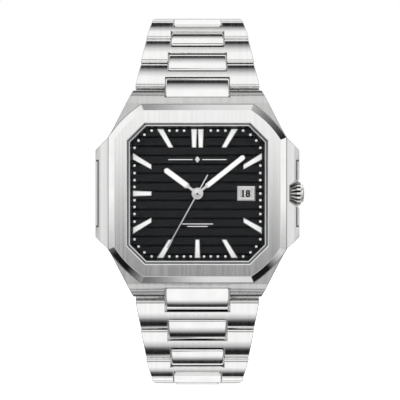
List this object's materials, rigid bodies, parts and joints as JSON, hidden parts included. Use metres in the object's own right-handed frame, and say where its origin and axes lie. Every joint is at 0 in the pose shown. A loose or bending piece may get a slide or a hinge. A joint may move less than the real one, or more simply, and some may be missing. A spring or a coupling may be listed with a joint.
{
  "type": "wristwatch",
  "caption": "Steel wristwatch with an octagonal bezel, black grooved dial and an integrated H-link bracelet with polished centre links and a folding clasp.",
  "frame": {"origin": "middle of the plane of the case back's flat outer face, where the head sits on the wrist", "axes": "dial faces -Y, +Z towards 12 o'clock, +X towards the crown; the closed bracelet loops behind at +Y"},
  "size_m": [0.0431, 0.0446, 0.0789],
  "materials": {
    "case_steel": "vertical brushing with polished chamfers",
    "bracelet_steel": "brushed along the bracelet",
    "centre_link_steel": "mirror-polished stainless steel",
    "clasp_steel": "brushed",
    "crown_steel": "polished stainless steel",
    "crystal_glass": "clear flat crystal",
    "dial_black": "black lacquer with cut horizontal grooves",
    "hand_steel": "polished, filled with white luminous paint",
    "date_white": "white matte with black numerals",
    "movement_brass": "gilt",
    "movement_nickel": "rhodium-plated, striped"
  },
  "bodies": {
    "case": {"case_middle": "case_steel", "bezel": "case_steel", "crystal": "crystal_glass", "dial_flange": "dial_black", "dial": "dial_black", "date_frame": "hand_steel", "crown_tube": "movement_nickel", "movement_holder": "movement_nickel", "main_plate": "movement_nickel", "train_bridge": "movement_nickel", "balance_cock": "movement_nickel", "case_back": "case_steel", "back_crystal": "crystal_glass"},
    "balance_wheel": {"balance_wheel": "movement_brass"},
    "centre_pinion": {"centre_pinion": "movement_nickel"},
    "clasp_cover": {"clasp_cover": "clasp_steel"},
    "clasp_inner_blade": {"clasp_inner_blade": "clasp_steel"},
    "clasp_outer_blade": {"clasp_outer_blade": "clasp_steel"},
    "crown": {"crown": "crown_steel"},
    "date_disc": {"date_disc": "date_white"},
    "hour_hand": {"hour_hand": "hand_steel"},
    "lower_centre_1": {"lower_centre_1": "centre_link_steel"},
    "lower_centre_2": {"lower_centre_2": "centre_link_steel"},
    "lower_centre_3": {"lower_centre_3": "centre_link_steel"},
    "lower_centre_4": {"lower_centre_4": "centre_link_steel"},
    "lower_centre_5": {"lower_centre_5": "centre_link_steel"},
    "lower_centre_6": {"lower_centre_6": "centre_link_steel"},
    "lower_centre_7": {"lower_centre_7": "centre_link_steel"},
    "lower_centre_8": {"lower_centre_8": "centre_link_steel"},
    "lower_link_1": {"lower_link_1": "bracelet_steel"},
    "lower_link_2": {"lower_link_2": "bracelet_steel"},
    "lower_link_3": {"lower_link_3": "bracelet_steel"},
    "lower_link_4": {"lower_link_4": "bracelet_steel"},
    "lower_link_5": {"lower_link_5": "bracelet_steel"},
    "lower_link_6": {"lower_link_6": "bracelet_steel"},
    "lower_link_7": {"lower_link_7": "bracelet_steel"},
    "lower_link_8": {"lower_link_8": "bracelet_steel"},
    "mainspring_barrel": {"mainspring_barrel": "movement_brass"},
    "minute_hand": {"minute_hand": "hand_steel"},
    "push_button_left": {"push_button_left": "crown_steel"},
    "push_button_right": {"push_button_right": "crown_steel"},
    "rotor": {"rotor": "movement_nickel"},
    "seconds_hand": {"seconds_hand": "hand_steel"},
    "upper_centre_1": {"upper_centre_1": "centre_link_steel"},
    "upper_centre_2": {"upper_centre_2": "centre_link_steel"},
    "upper_centre_3": {"upper_centre_3": "centre_link_steel"},
    "upper_centre_4": {"upper_centre_4": "centre_link_steel"},
    "upper_centre_5": {"upper_centre_5": "centre_link_steel"},
    "upper_centre_6": {"upper_centre_6": "centre_link_steel"},
    "upper_centre_7": {"upper_centre_7": "centre_link_steel"},
    "upper_centre_8": {"upper_centre_8": "centre_link_steel"},
    "upper_link_1": {"upper_link_1": "bracelet_steel"},
    "upper_link_2": {"upper_link_2": "bracelet_steel"},
    "upper_link_3": {"upper_link_3": "bracelet_steel"},
    "upper_link_4": {"upper_link_4": "bracelet_steel"},
    "upper_link_5": {"upper_link_5": "bracelet_steel"},
    "upper_link_6": {"upper_link_6": "bracelet_steel"},
    "upper_link_7": {"upper_link_7": "bracelet_steel"},
    "upper_link_8": {"upper_link_8": "bracelet_steel"},
    "winding_stem": {"winding_stem": "movement_nickel"}
  },
  "joints": [
    {"name": "minute_hand_turn", "type": "hinge", "parent": "case", "child": "minute_hand", "pos_m": [0, -0.00902, 0], "axis": [0, 1, 0], "continuous": true},
    {"name": "hour_hand_turn", "type": "hinge", "parent": "case", "child": "hour_hand", "pos_m": [0, -0.00862, 0], "axis": [0, 1, 0], "continuous": true},
    {"name": "centre_pinion_turn", "type": "hinge", "parent": "case", "child": "centre_pinion", "pos_m": [0, -0.004, 0], "axis": [0, 1, 0], "continuous": true},
    {"name": "mainspring_barrel_turn", "type": "hinge", "parent": "case", "child": "mainspring_barrel", "pos_m": [-0.00475, -0.004, 0.00458], "axis": [0, 1, 0], "continuous": true},
    {"name": "seconds_hand_turn", "type": "hinge", "parent": "case", "child": "seconds_hand", "pos_m": [0, -0.00942, 0], "axis": [0, 1, 0], "continuous": true},
    {"name": "date_disc_turn", "type": "hinge", "parent": "case", "child": "date_disc", "pos_m": [0, -0.00735, 0], "axis": [0, 1, 0], "continuous": true},
    {"name": "balance_wheel_swing", "type": "hinge", "parent": "case", "child": "balance_wheel", "pos_m": [0.00609, -0.004, -0.00549], "axis": [0, 1, 0], "range_deg": [-270, 270]},
    {"name": "rotor_turn", "type": "hinge", "parent": "case", "child": "rotor", "pos_m": [0, -0.00205, 0], "axis": [0, 1, 0], "continuous": true},
    {"name": "crown_pull", "type": "slide", "parent": "case", "child": "winding_stem", "axis": [1, 0, 0], "range_m": [0, 0.0012]},
    {"name": "crown_turn", "type": "hinge", "parent": "winding_stem", "child": "crown", "pos_m": [0.01915, -0.005, 0], "axis": [1, 0, 0], "continuous": true},
    {"name": "upper_centre_hinge_1", "type": "hinge", "parent": "case", "child": "upper_centre_1", "pos_m": [0, -0.0052, 0.02], "axis": [1, 0, 0], "range_deg": [0, 32.5]},
    {"name": "upper_link_hinge_1", "type": "hinge", "parent": "upper_centre_1", "child": "upper_link_1", "pos_m": [0, -0.00366, 0.02246], "axis": [1, 0, 0], "range_deg": [0, 8.5]},
    {"name": "upper_centre_hinge_2", "type": "hinge", "parent": "upper_link_1", "child": "upper_centre_2", "pos_m": [0, -0.00103, 0.0256], "axis": [1, 0, 0], "range_deg": [0, 1]},
    {"name": "upper_link_hinge_2", "type": "hinge", "parent": "upper_centre_2", "child": "upper_link_2", "pos_m": [0, 0.00086, 0.02781], "axis": [1, 0, 0], "range_deg": [0, 1]},
    {"name": "upper_centre_hinge_3", "type": "hinge", "parent": "upper_link_2", "child": "upper_centre_3", "pos_m": [0, 0.00355, 0.0309], "axis": [1, 0, 0], "range_deg": [0, 9]},
    {"name": "upper_link_hinge_3", "type": "hinge", "parent": "upper_centre_3", "child": "upper_link_3", "pos_m": [0, 0.00575, 0.03278], "axis": [1, 0, 0], "range_deg": [0, 9]},
    {"name": "upper_centre_hinge_4", "type": "hinge", "parent": "upper_link_3", "child": "upper_centre_4", "pos_m": [0, 0.00923, 0.03496], "axis": [1, 0, 0], "range_deg": [0, 13]},
    {"name": "upper_link_hinge_4", "type": "hinge", "parent": "upper_centre_4", "child": "upper_link_4", "pos_m": [0, 0.01196, 0.03592], "axis": [1, 0, 0], "range_deg": [0, 13]},
    {"name": "upper_centre_hinge_5", "type": "hinge", "parent": "upper_link_4", "child": "upper_centre_5", "pos_m": [0, 0.01603, 0.03642], "axis": [1, 0, 0], "range_deg": [0, 14]},
    {"name": "upper_link_hinge_5", "type": "hinge", "parent": "upper_centre_5", "child": "upper_link_5", "pos_m": [0, 0.01891, 0.0361], "axis": [1, 0, 0], "range_deg": [0, 14]},
    {"name": "upper_centre_hinge_6", "type": "hinge", "parent": "upper_link_5", "child": "upper_centre_6", "pos_m": [0, 0.02276, 0.03469], "axis": [1, 0, 0], "range_deg": [0, 14.5]},
    {"name": "upper_link_hinge_6", "type": "hinge", "parent": "upper_centre_6", "child": "upper_link_6", "pos_m": [0, 0.02517, 0.03307], "axis": [1, 0, 0], "range_deg": [0, 14.5]},
    {"name": "upper_centre_hinge_7", "type": "hinge", "parent": "upper_link_6", "child": "upper_centre_7", "pos_m": [0, 0.02791, 0.03002], "axis": [1, 0, 0], "range_deg": [0, 11.5]},
    {"name": "upper_link_hinge_7", "type": "hinge", "parent": "upper_centre_7", "child": "upper_link_7", "pos_m": [0, 0.02941, 0.02754], "axis": [1, 0, 0], "range_deg": [0, 11.5]},
    {"name": "upper_centre_hinge_8", "type": "hinge", "parent": "upper_link_7", "child": "upper_centre_8", "pos_m": [0, 0.03081, 0.02369], "axis": [1, 0, 0], "range_deg": [0, 8.5]},
    {"name": "upper_link_hinge_8", "type": "hinge", "parent": "upper_centre_8", "child": "upper_link_8", "pos_m": [0, 0.03141, 0.02085], "axis": [1, 0, 0], "range_deg": [0, 8.5]},
    {"name": "lower_centre_hinge_1", "type": "hinge", "parent": "case", "child": "lower_centre_1", "pos_m": [0, -0.0052, -0.02], "axis": [-1, 0, 0], "range_deg": [0, 16.5]},
    {"name": "lower_link_hinge_1", "type": "hinge", "parent": "lower_centre_1", "child": "lower_link_1", "pos_m": [0, -0.0044, -0.02279], "axis": [-1, 0, 0], "range_deg": [0, 12.5]},
    {"name": "lower_centre_hinge_2", "type": "hinge", "parent": "lower_link_1", "child": "lower_centre_2", "pos_m": [0, -0.00248, -0.02641], "axis": [-1, 0, 0], "range_deg": [0, 1]},
    {"name": "lower_link_hinge_2", "type": "hinge", "parent": "lower_centre_2", "child": "lower_link_2", "pos_m": [0, -0.00109, -0.02896], "axis": [-1, 0, 0], "range_deg": [0, 1]},
    {"name": "lower_centre_hinge_3", "type": "hinge", "parent": "lower_link_2", "child": "lower_centre_3", "pos_m": [0, 0.0009, -0.03254], "axis": [-1, 0, 0], "range_deg": [0, 11]},
    {"name": "lower_link_hinge_3", "type": "hinge", "parent": "lower_centre_3", "child": "lower_link_3", "pos_m": [0, 0.00274, -0.03478], "axis": [-1, 0, 0], "range_deg": [0, 11]},
    {"name": "lower_centre_hinge_4", "type": "hinge", "parent": "lower_link_3", "child": "lower_centre_4", "pos_m": [0, 0.00588, -0.03742], "axis": [-1, 0, 0], "range_deg": [0, 15]},
    {"name": "lower_link_hinge_4", "type": "hinge", "parent": "lower_centre_4", "child": "lower_link_4", "pos_m": [0, 0.0085, -0.03866], "axis": [-1, 0, 0], "range_deg": [0, 15]},
    {"name": "lower_centre_hinge_5", "type": "hinge", "parent": "lower_link_4", "child": "lower_centre_5", "pos_m": [0, 0.01252, -0.03945], "axis": [-1, 0, 0], "range_deg": [0, 15]},
    {"name": "lower_link_hinge_5", "type": "hinge", "parent": "lower_centre_5", "child": "lower_link_5", "pos_m": [0, 0.01542, -0.03927], "axis": [-1, 0, 0], "range_deg": [0, 15]},
    {"name": "lower_centre_hinge_6", "type": "hinge", "parent": "lower_link_5", "child": "lower_centre_6", "pos_m": [0, 0.01932, -0.038], "axis": [-1, 0, 0], "range_deg": [0, 14.5]},
    {"name": "lower_link_hinge_6", "type": "hinge", "parent": "lower_centre_6", "child": "lower_link_6", "pos_m": [0, 0.02178, -0.03647], "axis": [-1, 0, 0], "range_deg": [0, 14.5]},
    {"name": "lower_centre_hinge_7", "type": "hinge", "parent": "lower_link_6", "child": "lower_centre_7", "pos_m": [0, 0.02462, -0.03352], "axis": [-1, 0, 0], "range_deg": [0, 11]},
    {"name": "lower_link_hinge_7", "type": "hinge", "parent": "lower_centre_7", "child": "lower_link_7", "pos_m": [0, 0.02623, -0.0311], "axis": [-1, 0, 0], "range_deg": [0, 11]},
    {"name": "lower_centre_hinge_8", "type": "hinge", "parent": "lower_link_7", "child": "lower_centre_8", "pos_m": [0, 0.02783, -0.02732], "axis": [-1, 0, 0], "range_deg": [0, 5.5]},
    {"name": "lower_link_hinge_8", "type": "hinge", "parent": "lower_centre_8", "child": "lower_link_8", "pos_m": [0, 0.02865, -0.02454], "axis": [-1, 0, 0], "range_deg": [0, 5.5]},
    {"name": "clasp_end_hinge", "type": "hinge", "parent": "upper_link_8", "child": "clasp_inner_blade", "pos_m": [0, 0.0317, 0.01676], "axis": [1, 0, 0], "range_deg": [0, 8.08]},
    {"name": "clasp_blade_hinge", "type": "hinge", "parent": "clasp_inner_blade", "child": "clasp_outer_blade", "pos_m": [0, 0.02917, -0.01719], "axis": [-1, 0, 0], "range_deg": [0, 120]},
    {"name": "clasp_cover_hinge", "type": "hinge", "parent": "clasp_outer_blade", "child": "clasp_cover", "pos_m": [0, 0.03264, 0.01472], "axis": [1, 0, 0], "range_deg": [0, 120]},
    {"name": "push_button_right_press", "type": "slide", "parent": "clasp_cover", "child": "push_button_right", "axis": [-1, 0, 0], "range_m": [0, 0.0006], "stiffness_N_per_m": 1500},
    {"name": "push_button_left_press", "type": "slide", "parent": "clasp_cover", "child": "push_button_left", "axis": [1, 0, 0], "range_m": [0, 0.0006], "stiffness_N_per_m": 1500}
  ],
  "couplings": [
    {"joint": "hour_hand_turn", "follows": "minute_hand_turn", "ratio": 0.083333},
    {"joint": "centre_pinion_turn", "follows": "minute_hand_turn", "ratio": 1},
    {"joint": "mainspring_barrel_turn", "follows": "minute_hand_turn", "ratio": -0.16667},
    {"joint": "upper_link_hinge_1", "follows": "upper_centre_hinge_1", "ratio": 0.25},
    {"joint": "upper_link_hinge_2", "follows": "upper_centre_hinge_2", "ratio": 1},
    {"joint": "upper_link_hinge_3", "follows": "upper_centre_hinge_3", "ratio": 1},
    {"joint": "upper_link_hinge_4", "follows": "upper_centre_hinge_4", "ratio": 1},
    {"joint": "upper_link_hinge_5", "follows": "upper_centre_hinge_5", "ratio": 1},
    {"joint": "upper_link_hinge_6", "follows": "upper_centre_hinge_6", "ratio": 1},
    {"joint": "upper_link_hinge_7", "follows": "upper_centre_hinge_7", "ratio": 1},
    {"joint": "upper_link_hinge_8", "follows": "upper_centre_hinge_8", "ratio": 1},
    {"joint": "lower_link_hinge_1", "follows": "lower_centre_hinge_1", "ratio": 0.75},
    {"joint": "lower_link_hinge_2", "follows": "lower_centre_hinge_2", "ratio": 1},
    {"joint": "lower_link_hinge_3", "follows": "lower_centre_hinge_3", "ratio": 1},
    {"joint": "lower_link_hinge_4", "follows": "lower_centre_hinge_4", "ratio": 1},
    {"joint": "lower_link_hinge_5", "follows": "lower_centre_hinge_5", "ratio": 1},
    {"joint": "lower_link_hinge_6", "follows": "lower_centre_hinge_6", "ratio": 1},
    {"joint": "lower_link_hinge_7", "follows": "lower_centre_hinge_7", "ratio": 1},
    {"joint": "lower_link_hinge_8", "follows": "lower_centre_hinge_8", "ratio": 1},
    {"joint": "clasp_cover_hinge", "follows": "clasp_blade_hinge", "ratio": 1}
  ]
}
